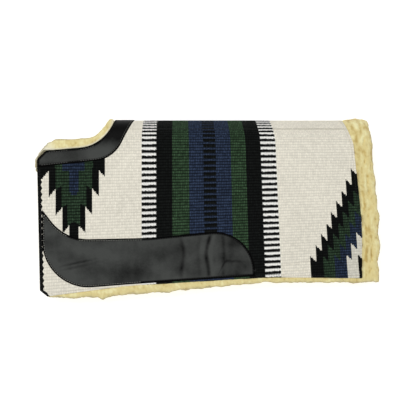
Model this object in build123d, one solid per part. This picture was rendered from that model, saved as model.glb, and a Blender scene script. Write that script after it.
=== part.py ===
from build123d import *
import os
from math import asin, atan2, cos, degrees, radians, sin

# Western saddle pad, folded along its spine and lying on its side.
# The spine runs along X with the withers at -X, the fold is at +Y and the free edges are at -Y.
# The far half lies blanket side down on Z = 0, and the near half lies on it, blanket side up.
# Every layer is one piece on the real pad. Here each is parted at the middle of the fold, where
# the two halves turn about one axis that lies just outside the blanket.
# A place on a half is given as x, from the front edge, and drop, from the fold down to the free edge,
# both measured in the plan of that half. A depth is measured inwards from the blanket's outer face.
# All sizes are in millimetres.

# Overall size of the folded pad
pad_length = 787.0
front_drop = 411.0
rear_rise = 36.0
rear_lean = 25.0
front_lean = 7.0

# Layers and fold
blanket_thickness = 4.0
felt_thickness = 10.0
fleece_thickness = 12.0
leather_thickness = 2.0
fold_radius = 46.0
free_edge_gap = 2.0
fold_clearance = 0.15
hinge_clearance = 0.2

# Fleece lining: its outline, and the border that it turns up round the blanket's edge
fleece_cut_length = 166.0
fleece_cut_run = 29.0
fleece_cut_depth = 42.0
fleece_cut_slope = 5.0
fleece_cut_radius = 53.0
fleece_nose_length = 41.0
nose_drop = 93.0
nose_radius = 9.0
lining_bottom_step_x = 146.0
lining_bottom_bend_x = 517.0
lining_bottom_bend_rise = 34.0
lining_rear_bend_drop = 244.0
border_depth = 1.5
border_clearance = 0.3

# Blanket: margins inside the lining's outline
front_margin = 2.0
front_bottom_margin = 4.0
rear_margin = 40.0
rear_bottom_margin = 10.0
cut_margin = 12.0
cut_depth_margin = 19.0
blanket_cut_run = 14.0
blanket_cut_slope = 12.0
blanket_cut_radius = 87.0
blanket_nose_length = 22.0
blanket_bottom_bend_x = 215.0
blanket_bottom_bend_rise = 25.0
blanket_bottom_flat_x = 531.0
blanket_bottom_flat_rise = 2.0
rear_shoulder_run = 20.0
rear_shoulder_lean = 35.0
rear_shoulder_drop = 56.0
rear_shoulder_radius = 60.0
felt_inset = 1.0

# Corners and long bends
corner_chamfer = 17.0
blanket_chamfer_drop = 13.6
corner_radius = 5.0
bend_radius = 350.0

# Wither leather: one band round the wither cut-out, across the spine
wither_band_at_spine = 45.0
wither_band_run = 46.0
wither_band_drop = 92.0
wither_band_front_drop = 111.0
wither_band_radius = 75.0

# Wear leather: one on each side, where the cinch and the fenders rub; heights are above the free edge
wear_front_inset = 12.0
wear_bottom_inset = 3.0
wear_tip_height = 203.0
wear_hollow_x = 65.0
wear_top_height = 134.5
wear_top_bend_x = 261.0
wear_top_bend_rise = 4.0
wear_length = 501.0
wear_shoulder_rise = 27.0
wear_hollow_radius = 105.0
wear_shoulder_radius = 92.0
wear_toe_radius = 106.0
wear_toe_rise = 9.0
wear_tip_radius = 3.0

# Seams
thread_width = 1.2
thread_recess = 0.2
thread_depth = 1.0
leather_seam_inset = 4.0
hem_seam_inset = 6.0
spine_seam_drop = 22.7

# Worked out from the sizes above
felt_depth = blanket_thickness
fleece_depth = felt_depth + felt_thickness
pad_thickness = fleece_depth + fleece_thickness
rear_drop = front_drop - rear_rise
wear_tip_drop = front_drop - wear_tip_height
wear_top_drop = front_drop - wear_top_height
flat_drop = front_drop - fold_radius
half_tilt = degrees(atan2(fold_radius - pad_thickness - free_edge_gap / 2, flat_drop))
near_reach = flat_drop * cos(radians(2 * half_tilt)) + (fold_radius - border_depth) * sin(radians(2 * half_tilt))
fold_y = (near_reach - fold_radius) / 2
fold_z = fold_radius
fold_edge_y = fold_y + fold_radius
over_fold = -30.0
reach = 2 * pad_length
sharp = 0.1


def plan(corners):
    """The face inside rounded corners, each given as x, drop and radius."""
    points = [(x - pad_length / 2, fold_edge_y - drop) for x, drop, radius in corners]
    radii = [radius for x, drop, radius in corners]
    return make_face(FilletPolyline(*points, radius=radii, close=True))


def front_x(drop):
    """The lining's front edge, which leans back towards the free edge."""
    return front_lean * (drop - nose_drop) / (front_drop - nose_drop)


def lining_plan():
    """Outline of the fleece lining, the largest layer."""
    cut_foot = fleece_cut_length - fleece_cut_run
    nose_top = fleece_cut_depth + fleece_cut_slope
    lean_in = fleece_cut_run * -over_fold / fleece_cut_depth
    chamfer_drop = front_drop - corner_chamfer
    bend_drop = front_drop - lining_bottom_bend_rise
    return plan([
        (fleece_cut_length + lean_in, over_fold, corner_radius),
        (cut_foot, fleece_cut_depth, fleece_cut_radius),
        (fleece_nose_length, nose_top, nose_radius),
        (0, nose_drop, nose_radius),
        (front_x(chamfer_drop), chamfer_drop, corner_radius),
        (front_x(front_drop) + corner_chamfer, front_drop, corner_radius),
        (lining_bottom_step_x, front_drop, bend_radius / 2),
        (lining_bottom_bend_x, bend_drop, bend_radius),
        (pad_length, rear_drop, corner_radius),
        (pad_length, lining_rear_bend_drop, bend_radius),
        (pad_length - rear_lean, over_fold, corner_radius),
    ])


def blanket_cut_corners():
    """Edge of the blanket round the wither cut-out, from over the fold to the front edge."""
    cut_x = fleece_cut_length + cut_margin
    cut_drop = fleece_cut_depth + cut_depth_margin
    nose_top = cut_drop + blanket_cut_slope
    lean_in = blanket_cut_run * -over_fold / cut_drop
    return [
        (cut_x + lean_in, over_fold, corner_radius),
        (cut_x - blanket_cut_run, cut_drop, blanket_cut_radius),
        (blanket_nose_length, nose_top, nose_radius),
        (front_margin, nose_drop, nose_radius),
    ]


def blanket_plan():
    """Outline of the woven blanket."""
    bottom = front_drop - front_bottom_margin
    chamfer_drop = bottom - blanket_chamfer_drop
    rear_bottom = rear_drop - rear_bottom_margin
    rear_x = pad_length - rear_margin
    shoulder_x = rear_x - rear_shoulder_run
    return plan(blanket_cut_corners() + [
        (front_margin + front_x(chamfer_drop), chamfer_drop, corner_radius),
        (front_margin + front_x(bottom) + corner_chamfer, bottom, corner_radius),
        (blanket_bottom_bend_x, bottom - blanket_bottom_bend_rise, bend_radius),
        (blanket_bottom_flat_x, rear_bottom - blanket_bottom_flat_rise, bend_radius),
        (rear_x, rear_bottom, corner_radius),
        (rear_x, lining_rear_bend_drop, bend_radius),
        (shoulder_x, rear_shoulder_drop, rear_shoulder_radius),
        (shoulder_x - rear_shoulder_lean, over_fold, corner_radius),
    ])


def wither_plan():
    """Outline of the wither leather: the blanket's cut edge and a band inside it."""
    spine_x = fleece_cut_length + cut_margin + wither_band_at_spine
    lean_in = wither_band_run * -over_fold / wither_band_drop
    foot = front_margin + front_x(wither_band_front_drop)
    return plan(blanket_cut_corners() + [
        (foot, wither_band_front_drop, thread_width),
        (spine_x - wither_band_run, wither_band_drop, wither_band_radius),
        (spine_x + lean_in, over_fold, corner_radius),
    ])


def wear_plan():
    """Outline of the wear leather, with a pointed tip at the front and a round shoulder behind."""
    front = wear_front_inset + front_margin
    shoulder_drop = wear_top_drop - wear_shoulder_rise
    bottom = front_drop - front_bottom_margin - wear_bottom_inset
    rear_bottom = rear_drop - rear_bottom_margin - wear_bottom_inset
    toe_drop = bottom - wear_toe_rise
    return plan([
        (front, wear_tip_drop, wear_tip_radius),
        (front + wear_hollow_x - wear_front_inset, wear_top_drop, wear_hollow_radius),
        (wear_top_bend_x, wear_top_drop - wear_top_bend_rise, bend_radius),
        (wear_length, shoulder_drop, wear_shoulder_radius),
        (wear_length, rear_bottom - blanket_bottom_flat_rise, corner_radius),
        (blanket_bottom_bend_x, bottom - blanket_bottom_bend_rise, bend_radius),
        (front, toe_drop, wear_toe_radius),
    ])


def ring(face, inset):
    """A band one thread wide along a face's edge, inset from it."""
    outer = offset(face, -(inset - thread_width / 2))
    inner = offset(face, -(inset + thread_width / 2))
    return outer - inner


def section(outer_depth, inner_depth):
    """Cross-section of the far half between two depths: flat, then bent round the fold to its middle."""
    outer = fold_radius - outer_depth
    inner = fold_radius - inner_depth
    free_y = -front_drop

    def at(radius, angle):
        return (fold_y + radius * cos(radians(angle)), fold_z + radius * sin(radians(angle)))

    def stop(radius):
        return half_tilt - degrees(asin(fold_clearance / radius))

    outer_end = at(outer, stop(outer))
    inner_end = at(inner, stop(inner))
    edge = [
        Line((free_y, outer_depth), (fold_y, outer_depth)),
        ThreePointArc((fold_y, outer_depth), at(outer, -45), outer_end),
        Line(outer_end, inner_end),
        ThreePointArc(inner_end, at(inner, -45), (fold_y, inner_depth)),
        Line((fold_y, inner_depth), (free_y, inner_depth)),
        Line((free_y, inner_depth), (free_y, outer_depth)),
    ]
    return Plane.YZ * make_face(Wire(edge))


def layer(face, outer_depth, inner_depth):
    """The far half's solid of one layer: a plan region, between two depths."""
    bent = extrude(section(outer_depth, inner_depth), amount=reach / 2, both=True)
    column = extrude(face, amount=3 * fold_radius, both=True)
    return bent & column


def cut_away(solid, tools):
    """A solid less each of the tools."""
    for tool in tools:
        solid = solid - tool
    return solid


def far_half():
    """Every piece of the far half, by name."""
    lining = lining_plan()
    blanket = blanket_plan()
    wither = wither_plan()
    wear = wear_plan()
    leathers = wither + wear

    thread_end = thread_recess + thread_depth
    spine_line = plan([
        (0, spine_seam_drop - thread_width / 2, sharp),
        (0, spine_seam_drop + thread_width / 2, sharp),
        (pad_length, spine_seam_drop + thread_width / 2, sharp),
        (pad_length, spine_seam_drop - thread_width / 2, sharp),
    ])
    hem = ring(blanket, hem_seam_inset)
    inside_hem = offset(blanket, -(hem_seam_inset + 2 * thread_width))
    clear_of_leather = offset(leathers, thread_width)
    seams = {
        "wither_leather_thread": ring(wither, leather_seam_inset),
        "wear_leather_thread": ring(wear, leather_seam_inset),
        "hem_thread": hem - clear_of_leather,
        "spine_thread": (spine_line & inside_hem) - clear_of_leather,
    }
    threads = {name: layer(face, thread_recess, thread_end) for name, face in seams.items()}
    grooves = {name: layer(face, 0, thread_end) for name, face in seams.items()}
    recesses = [layer(wither, 0, leather_thickness), layer(wear, 0, leather_thickness)]

    turned_up = lining - offset(blanket, border_clearance)
    pieces = {
        "fleece": layer(lining, fleece_depth, pad_thickness) + layer(turned_up, border_depth, fleece_depth),
        "felt": layer(offset(blanket, -felt_inset), felt_depth, fleece_depth),
        "blanket": cut_away(
            layer(blanket, 0, blanket_thickness),
            recesses + [grooves["hem_thread"], grooves["spine_thread"]],
        ),
        "wither_leather": recesses[0] - grooves["wither_leather_thread"],
        "wear_leather": recesses[1] - grooves["wear_leather_thread"],
    }
    return pieces | threads


fold_normal = (0, -sin(radians(half_tilt)), cos(radians(half_tilt)))
fold_middle = Plane(origin=(0, fold_y, fold_z), x_dir=(1, 0, 0), z_dir=fold_normal)

os.makedirs("parts", exist_ok=True)
for name, piece in far_half().items():
    export_step(piece, f"parts/far_{name}.step")
    export_step(mirror(piece, about=fold_middle), f"parts/near_{name}.step")

hinge_reach = fold_radius + hinge_clearance
hinge_y = fold_y + hinge_reach * cos(radians(half_tilt))
hinge_z = fold_z + hinge_reach * sin(radians(half_tilt))
print(f"fold centre y {fold_y:.3f} z {fold_z:.3f}, half tilt {half_tilt:.4f} degrees")
print(f"hinge y {hinge_y:.3f} z {hinge_z:.3f}, flat open at {180 + 2 * half_tilt:.3f} degrees")
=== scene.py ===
"""A western saddle pad, folded along its spine and lying on its side.

The pad is laid out flat before it is folded. A place on it is given by x, the distance from its
front edge, and run, the distance along the outer face from the middle of the fold, which is
positive on the near half and negative on the far half. Drop is how far below the fold a place is
once the pad is folded, and depth is measured inwards from the outer face. All sizes are in metres.
"""

from __future__ import annotations

import logging
import math
from collections.abc import Sequence
from dataclasses import dataclass, field
from enum import Enum
from functools import partialmethod

import bpy
import numpy as np
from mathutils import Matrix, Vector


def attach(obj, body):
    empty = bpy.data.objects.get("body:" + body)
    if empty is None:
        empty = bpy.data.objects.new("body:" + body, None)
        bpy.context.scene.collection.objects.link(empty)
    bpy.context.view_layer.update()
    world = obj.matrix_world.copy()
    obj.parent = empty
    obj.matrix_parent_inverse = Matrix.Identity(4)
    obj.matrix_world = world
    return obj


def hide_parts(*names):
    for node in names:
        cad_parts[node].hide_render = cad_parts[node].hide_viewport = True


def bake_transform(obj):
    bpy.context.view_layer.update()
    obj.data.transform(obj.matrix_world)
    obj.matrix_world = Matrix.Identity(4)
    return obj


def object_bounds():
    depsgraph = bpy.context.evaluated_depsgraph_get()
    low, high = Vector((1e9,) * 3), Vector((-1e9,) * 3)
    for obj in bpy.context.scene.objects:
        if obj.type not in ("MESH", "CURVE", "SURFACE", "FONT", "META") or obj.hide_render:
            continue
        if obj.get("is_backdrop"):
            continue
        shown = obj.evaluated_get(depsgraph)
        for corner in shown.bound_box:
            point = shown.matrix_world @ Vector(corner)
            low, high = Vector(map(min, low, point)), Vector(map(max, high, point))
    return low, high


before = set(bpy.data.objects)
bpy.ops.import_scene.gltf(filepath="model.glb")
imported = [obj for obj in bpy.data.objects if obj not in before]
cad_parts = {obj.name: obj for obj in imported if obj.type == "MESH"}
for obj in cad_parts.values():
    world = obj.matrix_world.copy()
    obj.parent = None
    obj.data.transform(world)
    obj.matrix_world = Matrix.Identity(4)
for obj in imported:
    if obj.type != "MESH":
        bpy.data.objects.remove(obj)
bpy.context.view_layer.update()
LOG = logging.getLogger("saddle_pad")
MM = 0.001


# ---------------------------------------------------------------- numbers over a surface


def ease(value: np.ndarray, low: float, high: float) -> np.ndarray:
    """A smooth step from 0 at low to 1 at high: 3t squared less 2t cubed."""
    share = np.clip((value - low) / (high - low), 0, 1)
    return share * share * (3 - 2 * share)


def hump(value: np.ndarray, middle: float, width: float) -> np.ndarray:
    """A bell of height 1: e to the minus square of the distance from the middle over the width."""
    return np.exp(-(((value - middle) / width) ** 2))


def rolled(inset: np.ndarray, width: float, fall: float) -> np.ndarray:
    """An edge's rounding, a quarter of an ellipse: fall times one less the circle's root.

    Args:
        inset: how far inside the edge each place lies.
        width: how wide the rounding is.
        fall: how deep it goes at the edge.

    Returns:
        The extra depth of each place.
    """
    share = 1 - np.clip(inset / width, 0, 1)
    return fall * (1 - np.sqrt(1 - share**2))


@dataclass(frozen=True)
class Unevenness:
    """Smooth seeded irregularity over a plane.

    Args:
        seed: picks the random directions and places, so that every run gives the same ones.
    """

    seed: int

    def swell(self, x: np.ndarray, y: np.ndarray) -> np.ndarray:
        """Gradient noise: each lattice point has a random slope, and a place blends its four.

        Args:
            x: first coordinate, in lattice steps.
            y: second coordinate, in lattice steps.

        Returns:
            Values from about -1 to 1.
        """
        turns = np.random.default_rng(self.seed).random((256, 256)) * 2 * np.pi
        ix, iy = np.floor(x).astype(int), np.floor(y).astype(int)
        fx, fy = x - ix, y - iy

        def slope(dx: int, dy: int) -> np.ndarray:
            """The height that one corner of the cell gives."""
            turn = turns[(ix + dx) & 255, (iy + dy) & 255]
            return np.cos(turn) * (fx - dx) + np.sin(turn) * (fy - dy)

        across, along = (f**3 * (f * (6 * f - 15) + 10) for f in (fx, fy))
        low = slope(0, 0) * (1 - across) + slope(1, 0) * across
        high = slope(0, 1) * (1 - across) + slope(1, 1) * across
        return 1.6 * (low * (1 - along) + high * along)

    def curls(self, x: np.ndarray, y: np.ndarray) -> np.ndarray:
        """Cell noise: the distance to the nearest of one jittered point per lattice cell.

        Args:
            x: first coordinate, in lattice steps.
            y: second coordinate, in lattice steps.

        Returns:
            Values from 0 at a point to about 1 between points.
        """
        jitter = np.random.default_rng(self.seed + 1).random((2, 256, 256))
        ix, iy = np.floor(x).astype(int), np.floor(y).astype(int)
        nearest = np.full(x.shape, 9.0)
        for dx, dy in np.ndindex(3, 3):
            cx, cy = ix + dx - 1, iy + dy - 1
            px = cx + jitter[0][cx & 255, cy & 255]
            py = cy + jitter[1][cx & 255, cy & 255]
            nearest = np.minimum(nearest, np.hypot(x - px, y - py))
        return np.minimum(nearest, 1)


# ---------------------------------------------------------------- the fold and the outlines


@dataclass(frozen=True)
class Fold:
    """The pad's folded shape: an arc round the spine, and a flat half on each side of it."""

    length: float = 787 * MM
    radius: float = 46 * MM
    front_drop: float = 411 * MM
    thickness: float = 26 * MM
    edge_gap: float = 2 * MM
    border_depth: float = 1.5 * MM
    sag: float = 1.1 * MM

    @property
    def flat(self) -> float:
        """Length of the flat part of a half at the front."""
        return self.front_drop - self.radius

    @property
    def tilt(self) -> float:
        """Angle of the plane midway between the halves above the floor."""
        return math.atan2(self.radius - self.thickness - self.edge_gap / 2, self.flat)

    @property
    def arc(self) -> float:
        """Run from the middle of the fold to where a half turns flat."""
        return self.radius * (math.pi / 2 + self.tilt)

    @property
    def centre(self) -> np.ndarray:
        """Y and Z of the fold's axis."""
        lift = (self.radius - self.border_depth) * math.sin(2 * self.tilt)
        near = self.flat * math.cos(2 * self.tilt) + lift
        return np.array([(near - self.radius) / 2, self.radius])

    @property
    def outward(self) -> np.ndarray:
        """Unit Y and Z from the axis to the middle of the fold."""
        return np.array([math.cos(self.tilt), math.sin(self.tilt)])

    @property
    def upward(self) -> np.ndarray:
        """Unit Y and Z square to the plane midway between the halves."""
        return np.array([-math.sin(self.tilt), math.cos(self.tilt)])

    def run_at(self, drop: np.ndarray) -> np.ndarray:
        """Run of a place from its drop: the arc's angle times its radius, then straight."""
        over = np.arccos(1 - np.clip(drop / self.radius, 0, 1)) + self.tilt
        return self.radius * over + np.maximum(drop - self.radius, 0)

    def drop_at(self, run: np.ndarray) -> np.ndarray:
        """Drop of a place from its run: radius times one less the cosine, then straight.

        Args:
            run: the places' runs.

        Returns:
            Their drops.
        """
        away = np.abs(run)
        angle = np.minimum(away, self.arc) / self.radius - self.tilt
        return self.radius * (1 - np.cos(angle)) + np.maximum(away - self.arc, 0)

    def waver(self, x: np.ndarray, run: np.ndarray) -> np.ndarray:
        """How far the near half lies above true flat: long crossed waves, none at the fold."""
        wave = np.sin(7.9 * x + 0.6) * np.sin(13.1 * run - 0.8) + 0.6 * np.sin(17.3 * x - 9.7 * run)
        return self.sag * wave * ease(run, 0.10, 0.22)

    def place(self, points: np.ndarray, depth: np.ndarray | float) -> np.ndarray:
        """Folds flat places: round the arc at the radius less the depth, then along the flat half.

        Args:
            points: x and run of each place, in the last axis.
            depth: distance inwards from the outer face.

        Returns:
            The places' X, Y and Z.
        """
        x, run = points[..., 0], points[..., 1]
        side = np.where(run < 0, -1.0, 1.0)
        angle = np.minimum(np.abs(run), self.arc) / self.radius
        beyond = np.maximum(np.abs(run) - self.arc, 0)
        reach = self.radius - depth + self.waver(x, run)
        out = reach * np.cos(angle) - beyond * np.sin(angle)
        up = side * (reach * np.sin(angle) + beyond * np.cos(angle))
        spot = self.centre + out[..., None] * self.outward + up[..., None] * self.upward
        return np.concatenate([(x - self.length / 2)[..., None], spot], axis=-1)

    def blend_points(self, half_width: float = 12.5 * MM) -> tuple[tuple[float, ...], tuple[float, ...]]:
        """Where a piece over the fold starts to go wholly with one half or the other.

        Args:
            half_width: how far from the fold's axis that is.

        Returns:
            The point on the far half's side and the point on the near half's side.
        """
        ends = (self.centre + sign * half_width * self.upward for sign in (-1, 1))
        far, near = ((0.0, float(y), float(z)) for y, z in ends)
        return far, near


FOLD = Fold()


def rounded(corners: Sequence[Sequence[float]], arc_points: int = 24) -> np.ndarray:
    """A chain through corners, each rounded by an arc that touches both of its sides.

    Args:
        corners: x, drop and radius of each in millimetres; the first and last are the chain's ends.
        arc_points: points on each arc.

    Returns:
        The chain's x and drop.
    """
    spots, radii = np.split(np.array(corners) * MM, [2], axis=1)
    chain = [spots[:1]]
    share = np.linspace(0, 1, arc_points)[:, None]
    for before, here, after, radius in zip(spots, spots[1:], spots[2:], radii[1:]):
        back = (before - here) / np.linalg.norm(before - here)
        ahead = (after - here) / np.linalg.norm(after - here)
        inside = math.acos(float(back @ ahead))
        sweep = math.pi - inside
        middle = (back + ahead) / np.linalg.norm(back + ahead)
        centre = here + middle * radius / math.sin(inside / 2)
        tangent = radius / math.tan(inside / 2)
        start, end = here + back * tangent - centre, here + ahead * tangent - centre
        spin = np.sin((1 - share) * sweep) * start + np.sin(share * sweep) * end
        chain.append(centre + spin / math.sin(sweep))
    return np.concatenate([*chain, spots[-1:]])


def resampled(chain: np.ndarray, step: float = 0.0, count: int = 0) -> np.ndarray:
    """A chain with even spacing.

    Args:
        chain: the places along it.
        step: the spacing, if count isn't given.
        count: the number of places.

    Returns:
        The new places, each between two old ones by its share of the length.
    """
    gone = np.concatenate([[0], np.cumsum(np.linalg.norm(np.diff(chain, axis=0), axis=1))])
    even = np.linspace(0, gone[-1], count or max(2, round(gone[-1] / step) + 1))
    return np.stack([np.interp(even, gone, chain[:, k]) for k in (0, 1)], axis=1)


def flat_line(*corners: Sequence[float]) -> np.ndarray:
    """A line on the flat pad, cut off where it reaches the fold and led to the fold's middle.

    Args:
        corners: x, drop and radius of each corner in millimetres.

    Returns:
        The line's x and run.
    """
    fine = resampled(rounded(corners), step=0.5 * MM)
    below = fine[:, 1] > 0
    flat = np.stack([fine[below, 0], FOLD.run_at(fine[below, 1])], axis=1)
    if fine[0, 1] < 0:
        flat = np.concatenate([[[flat[0, 0], 0.0]], flat])
    if fine[-1, 1] < 0:
        flat = np.concatenate([flat, [[flat[-1, 0], 0.0]]])
    return flat


def mirrored(flat: np.ndarray) -> np.ndarray:
    """The same places on the other half."""
    return flat * [1, -1]


@dataclass(frozen=True)
class Outline:
    """A closed line on the flat pad.

    Args:
        loop: x and run of its points in order, with the last joined to the first.
        batch: how many places are measured at a time, which bounds the memory used.
    """

    loop: np.ndarray
    batch: int = 1500

    @classmethod
    def across(cls, near: np.ndarray) -> Outline:
        """A loop over both halves from the near half's chain, which starts and ends at the fold."""
        near = resampled(near, step=3 * MM)
        return cls(np.concatenate([near, mirrored(near)[-2:0:-1]]))

    @property
    def turn(self) -> float:
        """1 or -1 by the way round that the loop runs, which is the sign of its area."""
        start, end = self.loop, np.roll(self.loop, -1, axis=0)
        return math.copysign(1, np.sum(start[:, 0] * end[:, 1] - end[:, 0] * start[:, 1]))

    def line_inside(self, inset: float) -> np.ndarray:
        """A closed line inside this one: its points moved inwards, less those that come too near it.

        Args:
            inset: how far inside.

        Returns:
            The line's x and run, with its first place again at the end.
        """
        loop = resampled(np.concatenate([self.loop, self.loop[:1]]), step=2 * MM)[:-1]
        ahead = np.roll(loop, -1, axis=0) - np.roll(loop, 1, axis=0)
        side = np.stack([ahead[:, 1], -ahead[:, 0]], axis=1)
        side /= np.linalg.norm(side, axis=1)[:, None]
        moved = loop - inset * self.turn * side
        kept = moved[self.inset(moved)[0] > 0.94 * inset]
        return np.concatenate([kept, kept[:1]])

    def inset(self, points: np.ndarray) -> tuple[np.ndarray, np.ndarray]:
        """How far places lie inside the line.

        Args:
            points: x and run of each place.

        Returns:
            The distance to the line, negative outside it, and the outward direction there.
        """
        start, end = self.loop, np.roll(self.loop, -1, axis=0)
        side = end - start
        length = np.linalg.norm(side, axis=1)
        keep = length > 1e-9
        start, side, length = start[keep], side[keep], length[keep]
        normal = np.stack([side[:, 1], -side[:, 0]], axis=1) / length[:, None]
        normal *= self.turn
        distance, outward = np.empty(len(points)), np.empty((len(points), 2))
        for first in range(0, len(points), self.batch):
            part = points[first : first + self.batch]
            gap = part[:, None] - start
            along = np.clip(np.sum(gap * side, axis=2) / length**2, 0, 1)
            gap -= along[..., None] * side
            square = np.sum(gap * gap, axis=2)
            best = square.argmin(axis=1)
            rows = np.arange(len(part))
            outward[first : first + self.batch] = normal[best]
            inside = np.sum(gap[rows, best] * normal[best], axis=1) <= 0
            distance[first : first + self.batch] = np.sqrt(square[rows, best]) * np.where(inside, 1, -1)
        return distance, outward


@dataclass(frozen=True)
class Shapes:
    """The outlines of the pad's layers on the near half, from corners in millimetres.

    Args:
        front_drop: drop of the front edge's lower end.
        rear_drop: drop of the rear edge's lower end.
        nose_drop: drop of the front edge's upper end.
        front_lean: how far the front edge leans back over its length.
        over_fold: drop of the corners that stand over the fold, where the lines are cut off.
        cut_top: x at which the cut-out's side, led on, gets there.
        length: length of the lining.
    """

    front_drop: float = FOLD.front_drop / MM
    rear_drop: float = 375
    nose_drop: float = 93
    front_lean: float = 7
    over_fold: float = -30
    cut_top: float = 184.8852459016393
    length: float = FOLD.length / MM

    def lean(self, drop: float) -> float:
        """How far the front edge has leant back at a drop."""
        return self.front_lean * (drop - self.nose_drop) / (self.front_drop - self.nose_drop)

    def cut_corners(self) -> list[tuple[float, float, float]]:
        """Edge of the blanket round the wither cut-out, from over the fold to the front edge."""
        start = self.cut_top, self.over_fold, 5
        return [start, (164, 61, 87), (22, 73, 9), (2, self.nose_drop, 9)]

    def blanket_front(self) -> np.ndarray:
        """The cut-out, the front edge and the cut corner below it."""
        low = 2 + self.lean(393.4), 393.4, 5
        return flat_line(*self.cut_corners(), low, (19 + self.lean(407), 407, 5))

    def blanket_bottom(self) -> np.ndarray:
        """The blanket's free edge from front to rear."""
        start = 19 + self.lean(407), 407, 0
        return flat_line(start, (215, 382, 350), (531, 363, 350), (747, 365, 0))

    def blanket_rear(self) -> np.ndarray:
        """The blanket's rear edge from the fold down."""
        return flat_line((692, self.over_fold, 0), (727, 56, 60), (747, 244, 350), (747, 365, 0))

    def lining_top(self) -> np.ndarray:
        """The lining's nose and cut-out, from the front edge to the fold."""
        top = 166 - self.over_fold * 29 / 42
        return flat_line((0, self.nose_drop, 0), (41, 47, 9), (137, 42, 53), (top, self.over_fold, 0))

    def lining_front(self) -> np.ndarray:
        """The lining's front edge and the cut corner below it."""
        return flat_line((0, self.nose_drop, 0), (self.lean(394), 394, 5), (24, self.front_drop, 0))

    def lining_bottom(self) -> np.ndarray:
        """The lining's free edge from front to rear."""
        start, bend = (24, self.front_drop, 0), (146, self.front_drop, 175)
        return flat_line(start, bend, (517, 377, 350), (self.length, self.rear_drop, 0))

    def lining_rear(self) -> np.ndarray:
        """The lining's rear edge from the fold down."""
        ends = (762, self.over_fold, 0), (self.length, self.rear_drop, 0)
        return flat_line(ends[0], (self.length, 244, 350), ends[1])

    def blanket_x(self, left: np.ndarray, right: np.ndarray, share: np.ndarray) -> np.ndarray:
        """Columns over the blanket, each a share of the way from the front edge to the rear edge.

        Args:
            left: run at which each row meets the front edge.
            right: run at which each row meets the rear edge.
            share: each column's share.

        Returns:
            x of each column in each row.
        """
        front, rear = self.blanket_front(), self.blanket_rear()
        start = np.interp(left, front[:, 1], front[:, 0])
        return start + share * (np.interp(right, rear[:, 1], rear[:, 0]) - start)

    def blanket(self) -> Outline:
        """The whole blanket."""
        chain = [self.blanket_front(), self.blanket_bottom(), self.blanket_rear()[::-1]]
        return Outline.across(np.concatenate(chain))

    def lining(self) -> Outline:
        """The whole lining."""
        chain = [self.lining_top()[::-1], self.lining_front(), self.lining_bottom()]
        return Outline.across(np.concatenate([*chain, self.lining_rear()[::-1]]))

    def band_edges(self, count: int = 150) -> tuple[np.ndarray, np.ndarray]:
        """The wither band's edges, each from the fold to the front.

        Args:
            count: places on each edge.

        Returns:
            Its side at the cut-out, and its other side.
        """
        foot = 2.4, 111, 0
        outer = flat_line(*self.cut_corners(), foot)
        outer = outer[outer[:, 1] <= FOLD.run_at(np.array(self.nose_drop * MM))]
        inner = flat_line((238, self.over_fold, 0), (177, 92, 75), foot)
        return resampled(outer, count=count), resampled(inner, count=count)

    def patch_edges(self) -> tuple[np.ndarray, np.ndarray]:
        """The wear leather's edges.

        Returns:
            Its upper side and its lower side, each from front to rear.
        """
        top = (14, 208, 0), (67, 276.5, 105), (261, 272.5, 350), (501, 249.5, 92), (501, 345, 0)
        bottom = (14, 208.5, 0), (14, 395, 106), (215, 379, 350), (501, 360, 5), (501, 345.5, 0)
        return flat_line(*top), flat_line(*bottom)

    def patches(self) -> tuple[Outline, Outline]:
        """The wear leathers.

        Returns:
            The near half's outline and the far half's.
        """
        top, bottom = (resampled(edge, step=2 * MM) for edge in self.patch_edges())
        loop = np.concatenate([top, bottom[::-1]])
        return Outline(loop), Outline(mirrored(loop))


SHAPES = Shapes()


# ---------------------------------------------------------------- meshes


@dataclass(frozen=True)
class Net:
    """A flat net of triangles, all turned the same way.

    Args:
        points: x and run of each point.
        triangles: three point numbers each.
    """

    points: np.ndarray
    triangles: np.ndarray

    @classmethod
    def stitched(cls, grids: Sequence[np.ndarray]) -> Net:
        """One net from grids of places, with equal points merged and empty cells left out.

        Args:
            grids: x and run of the places in rows and columns.

        Returns:
            The net, with every triangle turned so that its area is above zero.
        """
        start, cells = 0, []
        for grid in grids:
            index = start + np.arange(grid.shape[0] * grid.shape[1]).reshape(grid.shape[:2])
            corners = (index[:-1, :-1], index[1:, :-1], index[1:, 1:], index[:-1, 1:])
            cells.append(np.stack(corners, axis=-1).reshape(-1, 4))
            start += index.size
        flat = np.concatenate([grid.reshape(-1, 2) for grid in grids])
        keys = np.round(flat * 1e6).astype(np.int64)
        _, first, merged = np.unique(keys, axis=0, return_index=True, return_inverse=True)
        quads = merged.reshape(-1)[np.concatenate(cells)]
        triangles = np.concatenate([quads[:, [0, 1, 2]], quads[:, [0, 2, 3]]])
        points = flat[first]
        a, b, c = (points[triangles[:, k]] for k in range(3))
        area = (b - a)[:, 0] * (c - a)[:, 1] - (b - a)[:, 1] * (c - a)[:, 0]
        triangles = np.where(area[:, None] < 0, triangles[:, ::-1], triangles)
        return cls(points, triangles[np.abs(area) > 1e-11])

    def rim(self) -> np.ndarray:
        """The net's free edges.

        Returns:
            The two point numbers of each edge that only one triangle has, in that triangle's order.
        """
        sides = np.concatenate([self.triangles[:, pair] for pair in ([0, 1], [1, 2], [2, 0])])
        codes = sides[:, 0] * len(self.points) + sides[:, 1]
        back = sides[:, 1] * len(self.points) + sides[:, 0]
        return sides[~np.isin(codes, back)]


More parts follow.
